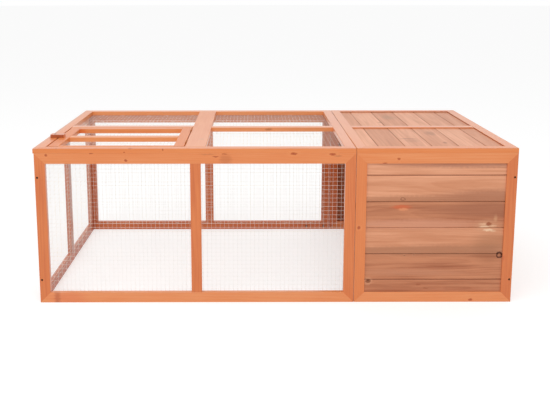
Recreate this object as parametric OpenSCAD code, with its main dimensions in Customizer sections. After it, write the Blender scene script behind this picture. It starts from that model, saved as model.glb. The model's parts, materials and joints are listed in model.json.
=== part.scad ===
// Outdoor rabbit run with a boarded house at one end, a lift-up roof lid and a wooden turn button.
// The origin is on the ground under the middle: +X to the right, +Y to the rear, +Z up.

/* [Overall] */
// Length of the wire run along the front
run_length = 1000; // [900:1:1200]
// Length of the boarded house along the front
house_length = 500; // [400:1:600]
// Depth from the front to the rear
depth = 750; // [620:1:900]
// Height to the top of the roof frames
height = 500; // [400:1:620]
// How far the roof stands out past the end wall of the run
roof_overhang = 3; // [0:0.5:5]
// Gap between the run's frames and the house's frames, bridged by the joining plates
seam_gap = 1.2; // [0.4:0.1:2]

/* [Laths] */
// Width of the frame laths
lath_w = 33; // [29:0.5:38]
// Thickness of the frame laths
lath_t = 15; // [13:0.5:18]
// Width of the middle rail of the run's roof
mid_rail_w = 66; // [50:1:90]
// How far behind the roof's middle the left bay's cross rail stands
left_cross_back = 9; // [0:1:30]

/* [Boards] */
// Width that one tongue-and-groove board covers
board_cover = 85; // [70:1:110]
// Distance from a frame's outer edge to the first joint between boards
first_joint = 74; // [60:1:84]
// Thickness of the boards
board_t = 7; // [6:0.5:9]
// Depth of the groove in the laths that holds the boards' ends
groove_depth = 6; // [4:0.5:8]
// Room on each side of a board in that groove
groove_room = 0.1; // [0.05:0.05:0.3]
// Depth of the bevel along each board's joint
joint_bevel = 1.8; // [1:0.1:2.2]
// Length of the tongue along each board
tongue_l = 3; // [2:0.5:4]
// Thickness of that tongue
tongue_t = 2; // [1.5:0.1:2.4]
// Gap left between two boards, and at the ends of the boards
board_gap = 0.4; // [0.2:0.1:0.8]

/* [Wire mesh] */
// Thickness of the wire mesh
mesh_t = 1; // [0.8:0.1:1.5]
// How far the mesh laps onto the laths it is stapled to
mesh_lap = 10; // [6:1:14]
// Spacing of the mesh's strands: a third of the real strands, each drawn for three
net_pitch = 41; // [38:1:60]
// Width of one strand
strand_w = 1.5; // [1:0.1:3]

/* [Lid] */
// Gap between the lid and the roof frame at its free sides
lid_gap = 4; // [1:0.5:5]
// Gap between the lid and the middle rail, which holds the hinge leaves
hinge_gap = 2.5; // [2.2:0.1:3.5]
// Width of the lid's narrow front rail
lid_front_w = 13; // [11:1:24]
// How far in front of the lid's middle its mid rail lies
lid_mid_forward = 5; // [0:1:30]
// Thickness of the stop strip under the roof's left rail
stop_t = 8; // [5:1:10]
// How far the stop strip reaches under the lid
stop_lap = 15; // [8:1:17]
// Distance from the lid's ends to the ends of the stop strip
stop_end = 20; // [5:1:60]

/* [Lid hinges] */
// Length of each hinge
hinge_len = 40; // [30:1:50]
// Distance from the lid's ends to the middle of each hinge
hinge_end = 60; // [40:1:80]
// Height of the hinge leaves
leaf_h = 12; // [9:0.5:12.5]
// Thickness of the hinge leaves
leaf_t = 0.9; // [0.85:0.05:1]
// Radius of the hinge knuckles
knuckle_r = 2.2; // [2:0.1:3]
// Radius of the hinge pins
pin_r = 1.1; // [0.8:0.1:1.3]
// Running clearance around pins and pivots
pin_clear = 0.05; // [0.03:0.01:0.1]
// Gap between two knuckles, and around them
knuckle_gap = 0.3; // [0.2:0.1:0.5]

/* [Turn button] */
// Distance from the roof's left edge to the button's pivot
button_x = 22.5; // [18:0.5:24]
// Distance from the front to the button's pivot
button_y = 187; // [150:1:230]
// Width of the turn button, which clears the lid when it is turned a quarter turn
button_w = 28; // [22:0.5:28.5]
// Thickness of the turn button
button_t = 10; // [8:0.5:16]
// How far the button reaches over the lid
button_lap = 17; // [6:0.5:20]
// Radius of the button's corners
button_r = 4; // [1:0.5:8]
// Gap under the button
button_clear = 0.3; // [0.2:0.1:0.8]
// Head radius of the button's pivot screw
pivot_head_r = 4; // [3:0.1:5]
// Shank radius of the button's pivot screw
pivot_r = 2; // [1.5:0.1:2.5]

/* [Screws and plates] */
// Height of the lower corner screws
screw_low = 75; // [50:1:150]
// Height of the upper corner screws
screw_high = 408; // [250:1:440]
// Head radius of the corner screws
corner_head_r = 3.4; // [2.5:0.1:4]
// Shank radius of the corner screws
corner_r = 1.8; // [1.4:0.1:2.2]
// Length of the corner screws
corner_len = 35; // [25:1:44]
// How far the corner screws' heads are sunk below the wood
corner_sink = 1.5; // [0.5:0.1:2]
// Head radius of the small screws in plates and brackets
plate_head_r = 2.8; // [2.2:0.1:3.2]
// Shank radius of those screws
plate_r = 1.4; // [1:0.1:1.6]
// Length of those screws
plate_screw_len = 12; // [8:0.5:13]
// Head radius of the hinge screws
leaf_head_r = 1.6; // [1.3:0.1:1.6]
// Shank radius of the hinge screws
leaf_screw_r = 0.8; // [0.8:0.05:1]
// Length of the hinge screws
leaf_screw_len = 12; // [8:0.5:16]
// Room around a screw in its hole
screw_room = 0.05; // [0.03:0.01:0.1]
// Thickness of the joining plates and roof brackets
plate_t = 1.5; // [1.5:0.1:2.5]
// Length of a joining plate across the seam between run and house
plate_l = 40; // [32:1:44]
// Height of a joining plate
plate_h = 16; // [10:1:20]
// Height of the lower joining plates
plate_low = 309; // [200:1:350]
// Width of a roof bracket
bracket_w = 14; // [10:1:24]

/* [Hidden] */
$fn = 32;

// Finishes, as the photograph shows them
lath_colour = [0.90, 0.58, 0.39];
board_colour = [0.78, 0.51, 0.42];
wire_colour = [0.72, 0.70, 0.66];
steel_colour = [0.62, 0.62, 0.63];
screw_colour = [0.20, 0.13, 0.09];

total_length = run_length + house_length;
left_x = -total_length / 2;
right_x = total_length / 2;
seam_x = left_x + run_length;
front_y = -depth / 2;
wall_h = height - lath_t;
run_frame_l = run_length - seam_gap;
run_wall_w = run_frame_l - roof_overhang;
side_wall_w = depth - 2 * lath_t;
run_wall_x = left_x + roof_overhang;

// The boards lie in the middle of the laths' thickness
board_recess = (lath_t - board_t) / 2;
board_end = lath_w - groove_depth + board_gap;

// Roof of the run, measured from its own left and front edges
mid_rail_x = (run_frame_l - mid_rail_w) / 2;
bay_w = mid_rail_x - lath_w;
cross_rail_y = (depth - lath_w) / 2;

// Lid in the front of the left bay
lid_x = left_x + lath_w + lid_gap;
lid_right_x = left_x + mid_rail_x - hinge_gap;
lid_y = front_y + lath_w + lid_gap;
lid_rear_y = left_cross_back - lath_w / 2 - lid_gap;
lid_w = lid_right_x - lid_x;
lid_d = lid_rear_y - lid_y;
lid_bay_w = lid_w - 2 * lath_w;
lid_mid_y = lid_y + (lid_d - lath_w) / 2 - lid_mid_forward;

// Lid hinges: the axis lies over the gap, a knuckle's radius above the roof
hinge_x = lid_right_x + hinge_gap / 2;
hinge_z = height + knuckle_r;
hinge_ys = [lid_y + hinge_end - hinge_len / 2, lid_rear_y - hinge_end - hinge_len / 2];
knuckle_len = (hinge_len - 2 * knuckle_gap) / 3;
leaf_screw_ys = [hinge_len / 5, hinge_len * 4 / 5];
rivet_h = 0.8;
rivet_r = (pin_r + knuckle_r) / 2;

// Turn button on the roof's left rail
pivot_x = left_x + button_x;
pivot_y = front_y + button_y;
button_z = height + button_clear;
pivot_head_room = 0.2;
pivot_tip = 1.5;

// Screw cross recess
recess_w = 0.25;
recess_l = 1.3;
recess_d = 0.3;
drill_over = 1;

// Corner screws: the middle of each end wall's thickness
corner_screw_xs = [run_wall_x + lath_t / 2, right_x - lath_t / 2];
corner_screw_zs = [screw_low, screw_high];

// Roof brackets and joining plates
bracket_leg = lath_w - lath_t;
bracket_xs = [left_x + run_frame_l / 2, seam_x + house_length / 2];
plate_x = seam_x - seam_gap / 2;
plate_high = wall_h - lath_w / 2;
plate_zs = [plate_low, plate_high];

// ---- Laths, frames and boards ----

// A lath along +X with its outer edge on z = 0 and its outer face on y = 0.
// Its ends are mitred, and the groove for boards runs along its inner edge.
module mitred_lath(length, grooved = false) {
    difference() {
        translate([0, lath_t, 0])
            rotate([90, 0, 0])
                linear_extrude(lath_t)
                    polygon([[0, 0], [length, 0], [length - lath_w, lath_w], [lath_w, lath_w]]);
        if (grooved)
            translate([0, 0, lath_w])
                board_groove(length);
    }
}

// The space of a groove along +X whose mouth is on z = 0, cut downwards
module board_groove(length) {
    translate([-drill_over, board_recess - groove_room, -groove_depth])
        cube([length + 2 * drill_over, board_t + 2 * groove_room, groove_depth + drill_over]);
}

// Turns a lath from the lower edge of a frame w wide and h high to another edge
module on_edge(edge, w, h) {
    place = edge == "right" ? [w, 0, 0]
        : edge == "top" ? [w, 0, h]
        : edge == "left" ? [0, 0, h]
        : [0, 0, 0];
    turn = edge == "right" ? -90
        : edge == "top" ? 180
        : edge == "left" ? 90
        : 0;
    translate(place)
        rotate([0, turn, 0])
            children();
}

module frame_lath(edge, w, h, grooved = false) {
    length = edge == "bottom" || edge == "top" ? w : h;
    on_edge(edge, w, h)
        mitred_lath(length, grooved);
}

// The post that is butted between a wall's rails, at its middle
module mid_post(w) {
    translate([(w - lath_w) / 2, 0, lath_w])
        cube([lath_w, lath_t, wall_h - 2 * lath_w]);
}

// Outline of a board across its width, as [depth from the outer face, height]
function board_outline(low, high, has_groove, has_tongue) =
    let (middle = (joint_bevel + board_t) / 2)
    let (tongue_out = middle - tongue_t / 2)
    let (tongue_in = middle + tongue_t / 2)
    let (slot = tongue_l + board_gap)
    let (lower_edge = has_groove
        ? [[0, low + joint_bevel], [joint_bevel, low],
            [tongue_out - groove_room, low], [tongue_out - groove_room, low + slot],
            [tongue_in + groove_room, low + slot], [tongue_in + groove_room, low],
            [board_t, low]]
        : [[0, low], [board_t, low]])
    let (upper_edge = has_tongue
        ? [[board_t, high], [tongue_in, high], [tongue_in, high + tongue_l],
            [tongue_out, high + tongue_l], [tongue_out, high],
            [joint_bevel, high], [0, high - joint_bevel]]
        : [[board_t, high], [0, high]])
    concat(lower_edge, upper_edge);

// Boards side by side along local y, each extruded along z: they fill a frame whose
// outer edges are span apart
module boards(span, length) {
    last = span - board_end;
    joints = [for (at = first_joint; at < last - 2 * tongue_l; at = at + board_cover) at];
    count = len(joints);
    for (i = [0 : count]) {
        low = i == 0 ? board_end : joints[i - 1] + board_gap / 2;
        high = i == count ? last : joints[i] - board_gap / 2;
        translate([board_recess, 0, 0])
            linear_extrude(length)
                polygon(board_outline(low, high, i > 0, i < count));
    }
}

// Horizontal boards in a wall frame w wide
module wall_boards(w) {
    translate([board_end, 0, 0])
        rotate([90, 0, 90])
            boards(wall_h, w - 2 * board_end);
}

// Wire mesh over a w by h opening whose corner is on the origin, on the inner faces
module net(w, h) {
    full_w = w + 2 * mesh_lap;
    full_h = h + 2 * mesh_lap;
    across = max(1, round((full_w - strand_w) / net_pitch));
    up = max(1, round((full_h - strand_w) / net_pitch));
    step_w = (full_w - strand_w) / across;
    step_h = (full_h - strand_w) / up;
    translate([-mesh_lap, lath_t + mesh_t, -mesh_lap])
        rotate([90, 0, 0])
            linear_extrude(mesh_t)
                difference() {
                    square([full_w, full_h]);
                    for (i = [0 : across - 1])
                        for (j = [0 : up - 1])
                            translate([strand_w + i * step_w, strand_w + j * step_h])
                                square([step_w - strand_w, step_h - strand_w]);
                }
}

// ---- Places of the wall and roof frames ----

module on_front(x) {
    translate([x, front_y, 0])
        children();
}

module on_rear(x) {
    mirror([0, 1, 0])
        on_front(x)
            children();
}

module on_house_end() {
    translate([right_x, front_y + lath_t, 0])
        rotate([0, 0, 90])
            children();
}

module on_run_end() {
    mirror([1, 0, 0])
        translate([-run_wall_x, front_y + lath_t, 0])
            rotate([0, 0, 90])
                children();
}

// The roof's outer face looks up, and its lower edge is the front edge
module on_roof(x) {
    translate([x, front_y, height])
        rotate([-90, 0, 0])
            children();
}

// ---- Screws ----

// A countersunk screw that points along +Z, with its head's face on z = 0
module screw_solid(head_r, shank_r, length) {
    cylinder(h = head_r - shank_r, r1 = head_r, r2 = shank_r);
    cylinder(h = length, r = shank_r);
}

module screw(head_r, shank_r, length) {
    difference() {
        screw_solid(head_r, shank_r, length);
        for (turn = [0, 90])
            rotate([0, 0, turn])
                cube([head_r * recess_l, head_r * recess_w, head_r * recess_d * 2], center = true);
    }
}

// The hole that such a screw fills
module screw_hole(head_r, shank_r, length) {
    screw_solid(head_r + screw_room, shank_r + screw_room, length + screw_room);
}

// Corner screws run from the front and rear faces into the end walls
module at_corner_screws() {
    for (side = [0, 1])
        mirror([0, side, 0])
            for (x = corner_screw_xs)
                for (z = corner_screw_zs)
                    translate([x, front_y + corner_sink, z])
                        rotate([-90, 0, 0])
                            children();
}

module corner_screw_holes() {
    at_corner_screws() {
        screw_hole(corner_head_r, corner_r, corner_len);
        translate([0, 0, -corner_sink - drill_over])
            cylinder(h = corner_sink + drill_over, r = corner_head_r + screw_room);
    }
}

// Small screws in the roof brackets and the joining plates
module at_plate_screws() {
    for (side = [0, 1])
        mirror([0, side, 0]) {
            for (x = bracket_xs) {
                translate([x, front_y + lath_t + plate_t, wall_h - bracket_leg / 2])
                    rotate([90, 0, 0])
                        children();
                translate([x, front_y + lath_t + bracket_leg / 2, wall_h - plate_t])
                    children();
            }
            for (z = plate_zs)
                for (end = [-1, 1])
                    translate([plate_x + end * plate_l / 4, front_y + lath_t + plate_t, z])
                        rotate([90, 0, 0])
                            children();
        }
}

module plate_screw_holes() {
    at_plate_screws()
        screw_hole(plate_head_r, plate_r, plate_screw_len);
}

// Hinge screws run from the gap into the middle rail, or into the lid on the other side
module at_leaf_screws() {
    for (y = hinge_ys)
        for (along = leaf_screw_ys)
            translate([hinge_gap / 2 - leaf_t, y + along, -knuckle_r - knuckle_gap - leaf_h / 2])
                rotate([0, 90, 0])
                    children();
}

module leaf_screw_holes() {
    at_leaf_screws()
        screw_hole(leaf_head_r, leaf_screw_r, leaf_screw_len);
}

module on_hinge() {
    translate([hinge_x, 0, hinge_z])
        children();
}

module on_lid_side() {
    on_hinge()
        mirror([1, 0, 0])
            children();
}

module drilled() {
    difference() {
        children();
        corner_screw_holes();
        plate_screw_holes();
    }
}

// ---- Front and rear walls ----

module front_run_lath(edge) {
    color(lath_colour)
        drilled()
            on_front(run_wall_x)
                frame_lath(edge, run_wall_w, wall_h);
}

module front_run_mid_post() {
    color(lath_colour)
        on_front(run_wall_x)
            mid_post(run_wall_w);
}

module front_house_lath(edge) {
    color(lath_colour)
        drilled()
            on_front(seam_x)
                frame_lath(edge, house_length, wall_h, grooved = true);
}

module front_house_stiles() {
    front_house_lath("left");
    front_house_lath("right");
}

module front_house_boards() {
    color(board_colour)
        on_front(seam_x)
            wall_boards(house_length);
}

module rear_run_lath(edge) {
    color(lath_colour)
        drilled()
            on_rear(run_wall_x)
                frame_lath(edge, run_wall_w, wall_h);
}

module rear_run_mid_post() {
    color(lath_colour)
        on_rear(run_wall_x)
            mid_post(run_wall_w);
}

module rear_house_lath(edge) {
    color(lath_colour)
        drilled()
            on_rear(seam_x)
                frame_lath(edge, house_length, wall_h, grooved = true);
}

module rear_house_stiles() {
    rear_house_lath("left");
    rear_house_lath("right");
}

module rear_house_boards() {
    color(board_colour)
        on_rear(seam_x)
            wall_boards(house_length);
}

// ---- End walls ----

module side_run_lath(edge) {
    color(lath_colour)
        drilled()
            on_run_end()
                frame_lath(edge, side_wall_w, wall_h);
}

module side_run_stiles() {
    side_run_lath("left");
    side_run_lath("right");
}

module side_run_mid_post() {
    color(lath_colour)
        on_run_end()
            mid_post(side_wall_w);
}

module side_house_lath(edge) {
    color(lath_colour)
        drilled()
            on_house_end()
                frame_lath(edge, side_wall_w, wall_h, grooved = true);
}

module side_house_stiles() {
    side_house_lath("left");
    side_house_lath("right");
}

module side_house_boards() {
    color(board_colour)
        on_house_end()
            wall_boards(side_wall_w);
}

// ---- Roof of the run ----

module run_roof_lath(edge) {
    color(lath_colour)
        drilled()
            on_roof(left_x)
                frame_lath(edge, run_frame_l, depth);
}

module run_roof_left_rail() {
    difference() {
        run_roof_lath("left");
        at_pivot()
            pivot_screw_hole();
    }
}

module run_roof_mid_rail() {
    color(lath_colour)
        difference() {
            on_roof(left_x + mid_rail_x)
                translate([0, 0, lath_w])
                    cube([mid_rail_w, lath_t, depth - 2 * lath_w]);
            on_hinge()
                leaf_screw_holes();
        }
}

module cross_rail(x, back) {
    color(lath_colour)
        on_roof(left_x + x)
            translate([0, 0, cross_rail_y + back])
                cube([bay_w, lath_t, lath_w]);
}

module run_roof_left_cross_rail() {
    cross_rail(lath_w, left_cross_back);
}

module run_roof_right_cross_rail() {
    cross_rail(mid_rail_x + mid_rail_w, 0);
}

// ---- Roof of the house ----

module house_roof_lath(edge) {
    color(lath_colour)
        drilled()
            on_roof(seam_x)
                frame_lath(edge, house_length, depth, grooved = true);
}

module house_roof_side_rails() {
    house_roof_lath("left");
    house_roof_lath("right");
}

// The batten across the middle holds the inner ends of both rows of boards
module house_roof_batten() {
    batten_l = house_length - 2 * lath_w;
    color(lath_colour)
        on_roof(seam_x)
            translate([lath_w, 0, cross_rail_y])
                difference() {
                    cube([batten_l, lath_t, lath_w]);
                    translate([0, 0, lath_w])
                        board_groove(batten_l);
                    mirror([0, 0, 1])
                        board_groove(batten_l);
                }
}

module house_roof_boards() {
    row = cross_rail_y + groove_depth - board_gap - board_end;
    color(board_colour)
        on_roof(seam_x)
            for (start = [board_end, depth - board_end - row])
                translate([0, 0, start])
                    mirror([1, -1, 0])
                        boards(house_length, row);
}

// ---- Wire mesh ----

module wall_net(w) {
    translate([lath_w, 0, lath_w])
        net(w - 2 * lath_w, wall_h - 2 * lath_w);
}

module front_mesh() {
    color(wire_colour)
        on_front(run_wall_x)
            wall_net(run_wall_w);
}

module rear_mesh() {
    color(wire_colour)
        on_rear(run_wall_x)
            wall_net(run_wall_w);
}

module side_mesh() {
    color(wire_colour)
        on_run_end()
            wall_net(side_wall_w);
}

module roof_rear_mesh() {
    rear_bay_y = cross_rail_y + left_cross_back + lath_w;
    color(wire_colour)
        on_roof(left_x)
            translate([lath_w, 0, rear_bay_y])
                net(bay_w, depth - lath_w - rear_bay_y);
}

module roof_mid_mesh() {
    color(wire_colour)
        on_roof(left_x)
            translate([mid_rail_x + mid_rail_w, 0, lath_w])
                net(bay_w, depth - 2 * lath_w);
}

// ---- Lid ----

module lid_lath(x, y, w, d) {
    translate([x, y, wall_h])
        cube([w, d, lath_t]);
}

module lid_stiles() {
    color(lath_colour)
        difference() {
            for (x = [lid_x, lid_right_x - lath_w])
                lid_lath(x, lid_y, lath_w, lid_d);
            on_lid_side()
                leaf_screw_holes();
        }
}

module lid_front_rail() {
    color(lath_colour)
        lid_lath(lid_x + lath_w, lid_y, lid_bay_w, lid_front_w);
}

module lid_mid_rail() {
    color(lath_colour)
        lid_lath(lid_x + lath_w, lid_mid_y, lid_bay_w, lath_w);
}

module lid_rear_rail() {
    color(lath_colour)
        lid_lath(lid_x + lath_w, lid_rear_y - lath_w, lid_bay_w, lath_w);
}

// The lid's mesh laps onto each rail, but no further than the narrow front rail allows
module lid_mesh() {
    front_in = max(lid_front_w, mesh_lap + drill_over);
    color(wire_colour)
        translate([lid_x + lath_w, lid_y + front_in, height])
            rotate([-90, 0, 0])
                net(lid_bay_w, lid_d - lath_w - front_in);
}

// The strip is fixed under the roof's left rail, and the lid's left stile rests on it
module lid_stop_strip() {
    strip_x = run_wall_x + lath_t;
    color(lath_colour)
        translate([strip_x, lid_y + stop_end, wall_h - stop_t])
            cube([lid_x + stop_lap - strip_x, lid_d - 2 * stop_end, stop_t]);
}

// ---- Lid hinges ----

// A knuckle with its neck, from y = 0, on the side where its leaf is
module knuckle() {
    rotate([-90, 0, 0])
        cylinder(h = knuckle_len, r = knuckle_r);
    translate([hinge_gap / 2 - leaf_t, 0, -knuckle_r - 2 * knuckle_gap])
        cube([leaf_t, knuckle_len, knuckle_r + 2 * knuckle_gap]);
}

// Both hinges' leaves on one side, with knuckles at the given steps along them
module hinge_leaves(steps) {
    difference() {
        for (y = hinge_ys)
            translate([0, y, 0]) {
                translate([hinge_gap / 2 - leaf_t, 0, -knuckle_r - knuckle_gap - leaf_h])
                    cube([leaf_t, hinge_len, leaf_h]);
                for (step = steps)
                    translate([0, step * (knuckle_len + knuckle_gap), 0])
                        knuckle();
            }
        for (y = hinge_ys)
            translate([0, y - drill_over, 0])
                rotate([-90, 0, 0])
                    cylinder(h = hinge_len + 2 * drill_over, r = pin_r + pin_clear);
        leaf_screw_holes();
    }
}

module hinge_fixed_leaves() {
    color(steel_colour)
        on_hinge()
            hinge_leaves([0, 2]);
}

module hinge_lid_leaves() {
    color(steel_colour)
        on_lid_side()
            hinge_leaves([1]);
}

// Each pin has a rivet head at both ends
module hinge_pins() {
    color(steel_colour)
        on_hinge()
            for (y = hinge_ys)
                translate([0, y, 0])
                    rotate([-90, 0, 0]) {
                        cylinder(h = hinge_len, r = pin_r);
                        for (end = [-rivet_h, hinge_len])
                            translate([0, 0, end])
                                cylinder(h = rivet_h, r = rivet_r);
                    }
}

module hinge_fixed_screws() {
    color(steel_colour)
        on_hinge()
            at_leaf_screws()
                screw(leaf_head_r, leaf_screw_r, leaf_screw_len);
}

module hinge_lid_screws() {
    color(steel_colour)
        on_lid_side()
            at_leaf_screws()
                screw(leaf_head_r, leaf_screw_r, leaf_screw_len);
}

// ---- Turn button ----

// The pivot screw points down from the button's top
module at_pivot() {
    translate([pivot_x, pivot_y, button_z + button_t])
        rotate([180, 0, 0])
            children();
}

pivot_len = button_t + button_clear + lath_t - pivot_tip;

module pivot_screw_hole() {
    cylinder(h = pivot_len + screw_room, r = pivot_r + screw_room);
}

// A block with round corners, from the left rail to over the lid
module turn_button() {
    heel = button_w / 2;
    reach = lid_x + button_lap - pivot_x;
    long = heel + reach;
    color(lath_colour)
        difference() {
            translate([pivot_x - heel, pivot_y - heel, button_z])
                linear_extrude(button_t) {
                    translate([button_r, 0])
                        square([long - 2 * button_r, button_w]);
                    translate([0, button_r])
                        square([long, button_w - 2 * button_r]);
                    for (x = [button_r, long - button_r])
                        for (y = [button_r, button_w - button_r])
                            translate([x, y])
                                circle(r = button_r);
                }
            at_pivot() {
                translate([0, 0, -drill_over])
                    cylinder(h = pivot_len, r = pivot_r + pin_clear);
                cylinder(h = pivot_head_r - pivot_r + pivot_head_room,
                    r1 = pivot_head_r + pivot_head_room, r2 = pivot_r);
            }
        }
}

module turn_button_screw() {
    color(screw_colour)
        at_pivot()
            screw(pivot_head_r, pivot_r, pivot_len);
}

// ---- Screws, brackets and plates ----

module corner_screws() {
    color(screw_colour)
        at_corner_screws()
            screw(corner_head_r, corner_r, corner_len);
}

// Angle brackets join the roof frames to the walls' top rails, on the inside
module roof_brackets() {
    color(steel_colour)
        difference() {
            for (side = [0, 1])
                mirror([0, side, 0])
                    for (x = bracket_xs)
                        translate([x - bracket_w / 2, front_y + lath_t, wall_h]) {
                            translate([0, 0, -bracket_leg])
                                cube([bracket_w, plate_t, bracket_leg]);
                            translate([0, 0, -plate_t])
                                cube([bracket_w, bracket_leg, plate_t]);
                        }
            plate_screw_holes();
        }
}

// Flat plates join the run to the house across the seam, on the inside
module joining_plates() {
    color(steel_colour)
        difference() {
            for (side = [0, 1])
                mirror([0, side, 0])
                    for (z = plate_zs)
                        translate([plate_x - plate_l / 2, front_y + lath_t, z - plate_h / 2])
                            cube([plate_l, plate_t, plate_h]);
            plate_screw_holes();
        }
}

module plate_screws() {
    color(steel_colour)
        at_plate_screws()
            screw(plate_head_r, plate_r, plate_screw_len);
}

front_run_lath("top");  // front_run_top_rail
front_run_lath("bottom");  // front_run_bottom_rail
front_run_lath("left");  // front_run_left_stile
front_run_lath("right");  // front_run_right_stile
front_run_mid_post();
front_house_lath("top");  // front_house_top_rail
front_house_lath("bottom");  // front_house_bottom_rail
front_house_stiles();
front_house_boards();
rear_run_lath("top");  // rear_run_top_rail
rear_run_lath("bottom");  // rear_run_bottom_rail
rear_run_lath("left");  // rear_run_left_stile
rear_run_lath("right");  // rear_run_right_stile
rear_run_mid_post();
rear_house_lath("top");  // rear_house_top_rail
rear_house_lath("bottom");  // rear_house_bottom_rail
rear_house_stiles();
rear_house_boards();
side_run_lath("top");  // side_run_top_rail
side_run_lath("bottom");  // side_run_bottom_rail
side_run_stiles();
side_run_mid_post();
side_house_lath("top");  // side_house_top_rail
side_house_lath("bottom");  // side_house_bottom_rail
side_house_stiles();
side_house_boards();
run_roof_lath("bottom");  // run_roof_front_rail
run_roof_lath("top");  // run_roof_rear_rail
run_roof_left_rail();
run_roof_mid_rail();
run_roof_lath("right");  // run_roof_right_rail
run_roof_left_cross_rail();
run_roof_right_cross_rail();
house_roof_lath("bottom");  // house_roof_front_rail
house_roof_lath("top");  // house_roof_rear_rail
house_roof_side_rails();
house_roof_batten();
house_roof_boards();
front_mesh();
rear_mesh();
side_mesh();
roof_rear_mesh();
roof_mid_mesh();
lid_stiles();
lid_front_rail();
lid_mid_rail();
lid_rear_rail();
lid_mesh();
lid_stop_strip();
hinge_fixed_leaves();
hinge_lid_leaves();
hinge_pins();
hinge_fixed_screws();
hinge_lid_screws();
turn_button();
turn_button_screw();
corner_screws();
roof_brackets();
joining_plates();
plate_screws();
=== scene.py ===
"""Looks of the outdoor rabbit run: stained fir laths and boards, welded wire nets,
staples, hinges, plates and screws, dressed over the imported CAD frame. Run as a script."""

import json
import math
import random

import bmesh
import bpy
from bpy.props import FloatProperty, FloatVectorProperty, IntProperty, PointerProperty
from bpy.types import Operator, Panel, PropertyGroup
from mathutils import Matrix, Vector

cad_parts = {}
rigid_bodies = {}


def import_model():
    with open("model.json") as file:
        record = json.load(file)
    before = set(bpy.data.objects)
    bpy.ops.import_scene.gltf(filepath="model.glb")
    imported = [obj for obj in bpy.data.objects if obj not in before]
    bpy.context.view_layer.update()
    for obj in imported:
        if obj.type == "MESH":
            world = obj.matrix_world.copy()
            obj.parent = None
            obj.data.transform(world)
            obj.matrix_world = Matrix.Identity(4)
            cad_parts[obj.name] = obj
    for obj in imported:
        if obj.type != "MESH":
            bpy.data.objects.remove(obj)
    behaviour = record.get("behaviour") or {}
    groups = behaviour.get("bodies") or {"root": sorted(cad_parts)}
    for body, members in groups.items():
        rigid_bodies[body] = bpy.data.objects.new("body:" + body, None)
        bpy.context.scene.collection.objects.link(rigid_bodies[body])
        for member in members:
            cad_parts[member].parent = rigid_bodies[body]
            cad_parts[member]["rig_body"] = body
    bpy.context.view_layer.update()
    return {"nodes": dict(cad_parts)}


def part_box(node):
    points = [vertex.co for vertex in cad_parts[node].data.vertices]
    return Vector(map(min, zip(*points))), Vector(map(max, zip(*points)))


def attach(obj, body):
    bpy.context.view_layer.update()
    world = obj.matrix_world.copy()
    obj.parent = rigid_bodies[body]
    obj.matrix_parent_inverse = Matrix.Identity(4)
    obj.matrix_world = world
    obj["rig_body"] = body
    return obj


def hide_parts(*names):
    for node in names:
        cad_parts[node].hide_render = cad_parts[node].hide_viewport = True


bl_info = {
    "name": "Rabbit run looks",
    "version": (1, 0, 0),
    "blender": (4, 5, 0),
    "location": "View3D > Sidebar > Rabbit run",
    "description": "Builds the wood, wire nets and hardware of an outdoor rabbit run",
    "category": "Object",
}

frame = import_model()
NODES = frame["nodes"]
MM = 0.001
BODY_OF = {n: obj["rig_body"] for n, obj in NODES.items()}
ROOF_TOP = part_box("run_roof_front_rail")[1][2]

# ---------------------------------------------------------------- which node is what

WALL_LATHS = (
    [f"{wall}_run_{part}" for wall in ("front", "rear")
     for part in ("top_rail", "bottom_rail", "left_stile", "right_stile", "mid_post")]
    + [f"{wall}_house_{part}" for wall in ("front", "rear", "side")
       for part in ("top_rail", "bottom_rail", "stiles")]
    + [f"side_run_{part}" for part in ("top_rail", "bottom_rail", "stiles", "mid_post")]
)
ROOF_LATHS = (
    [f"run_roof_{part}_rail" for part in ("front", "rear", "left", "mid", "right",
                                          "left_cross", "right_cross")]
    + ["house_roof_front_rail", "house_roof_rear_rail", "house_roof_side_rails",
       "house_roof_batten", "lid_stop_strip"]
)
LID_LATHS = ["lid_stiles", "lid_front_rail", "lid_mid_rail", "lid_rear_rail"]
BOARDS = ["front_house_boards", "rear_house_boards", "side_house_boards",
          "house_roof_boards"]

# How light each photographed stick is, from about 0, red-brown, to about 1, pale orange, in
# order along X, Y and Z. Sticks of nodes that aren't listed draw their own by the name.
TONES_AND_INSIDE_SHADE = {
    "front_run_top_rail": [0.67], "front_run_bottom_rail": [0.85],
    "front_run_left_stile": [0.30], "front_run_right_stile": [0.34],
    "front_run_mid_post": [0.26], "front_house_top_rail": [0.74],
    "front_house_bottom_rail": [0.85], "front_house_stiles": [0.46, 0.24],
    "run_roof_front_rail": [0.66], "house_roof_front_rail": [0.70],
    "run_roof_left_rail": [0.75], "run_roof_mid_rail": [0.8],
    "run_roof_right_rail": [0.72], "run_roof_rear_rail": [0.95],
    "house_roof_side_rails": [0.8, 0.7], "house_roof_rear_rail": [0.6],
    "house_roof_batten": [0.72], "lid_mid_rail": [1.2],
    "lid_rear_rail": [0.75], "lid_front_rail": [0.75], "lid_stiles": [0.6, 0.65],
    "run_roof_left_cross_rail": [0.85], "run_roof_right_cross_rail": [0.9],
    # The rear walls' and the side wall's sticks and the rear boards have low tones: partly
    # their own darker wood, and partly painted shade of the inside of the run and the house.
    "rear_run_top_rail": [0.25], "rear_run_bottom_rail": [0.12],
    "rear_run_left_stile": [0.08], "rear_run_right_stile": [0.05],
    "rear_run_mid_post": [0.15], "rear_house_stiles": [0.1, 0.3],
    "side_run_mid_post": [-0.25], "side_run_stiles": [0.3, -0.2],
    "side_run_bottom_rail": [-0.1], "turn_button": [0.25],
    "front_house_boards": [0.28, 0.29, 0.6, 0.29, 0.72, 0.74],
    "rear_house_boards": [-0.3, -0.1, -0.2, -0.05, -0.25, -0.15],
    "house_roof_boards": [0.85, 0.60, 0.53, 0.83, 0.70, 0.47, 0.64, 0.86, 0.80, 0.60,
                          0.55, 0.57],
}
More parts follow.
